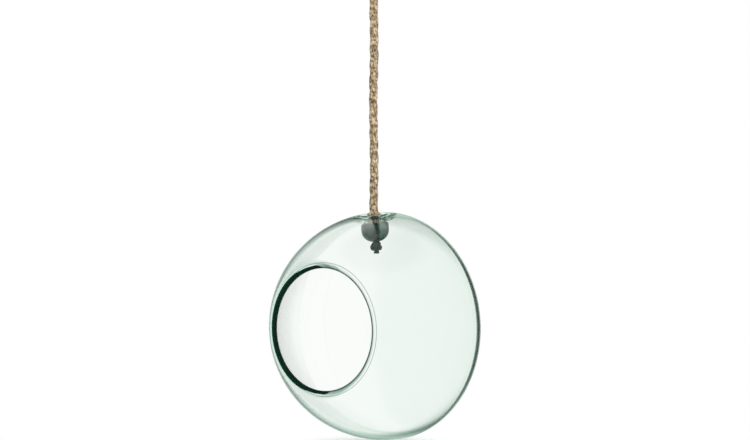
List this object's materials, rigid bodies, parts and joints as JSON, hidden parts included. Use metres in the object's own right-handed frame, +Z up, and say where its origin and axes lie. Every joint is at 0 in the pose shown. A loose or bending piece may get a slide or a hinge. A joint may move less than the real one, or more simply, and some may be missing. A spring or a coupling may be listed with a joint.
{
  "type": "hanging planter",
  "caption": "Clear pale green glass globe with a round side mouth, hung on a jute rope that is held inside the globe by a bead and a knot.",
  "frame": {"origin": "where a hook bears, at the inside of the hanging loop's crown", "axes": "+Z up along the rope, the mouth faces -Y, X to the side"},
  "size_m": [0.208, 0.1249, 0.4964],
  "materials": {
    "clear_glass": "clear blown glass with a pale green tint, smooth and glossy, mouth ground flat",
    "bead_glass": "cloudy dark grey-green glass, softly glossy",
    "jute": "natural three-strand jute, coarse and hairy, matte",
    "dipped_jute": "jute strand dipped dark green, stiff, slightly waxy"
  },
  "bodies": {
    "loop": {"hanging_loop": "jute"},
    "knot": {"loop_knot": "jute", "loop_tail": "jute"},
    "rope": {"rope": "jute", "rope_end": "jute"},
    "bead": {"stop_bead": "bead_glass", "core_strand": "dipped_jute", "stop_knot": "dipped_jute", "strand_tail": "dipped_jute"},
    "globe": {"glass_globe": "clear_glass"}
  },
  "joints": [
    {"name": "swing_front", "type": "hinge", "parent": "loop", "child": "knot", "pos_m": [0, 0, -0.056], "axis": [1, 0, 0], "range_deg": [-35, 35]},
    {"name": "swing_side", "type": "hinge", "parent": "knot", "child": "rope", "pos_m": [0, 0, -0.0846], "axis": [0, 1, 0], "range_deg": [-35, 35]},
    {"name": "globe_turn", "type": "hinge", "parent": "rope", "child": "bead", "pos_m": [0, 0, -0.2816], "axis": [0, 0, 1], "continuous": true},
    {"name": "globe_lift", "type": "slide", "parent": "bead", "child": "globe", "axis": [0, 0, 1], "range_m": [0, 0.15]}
  ]
}
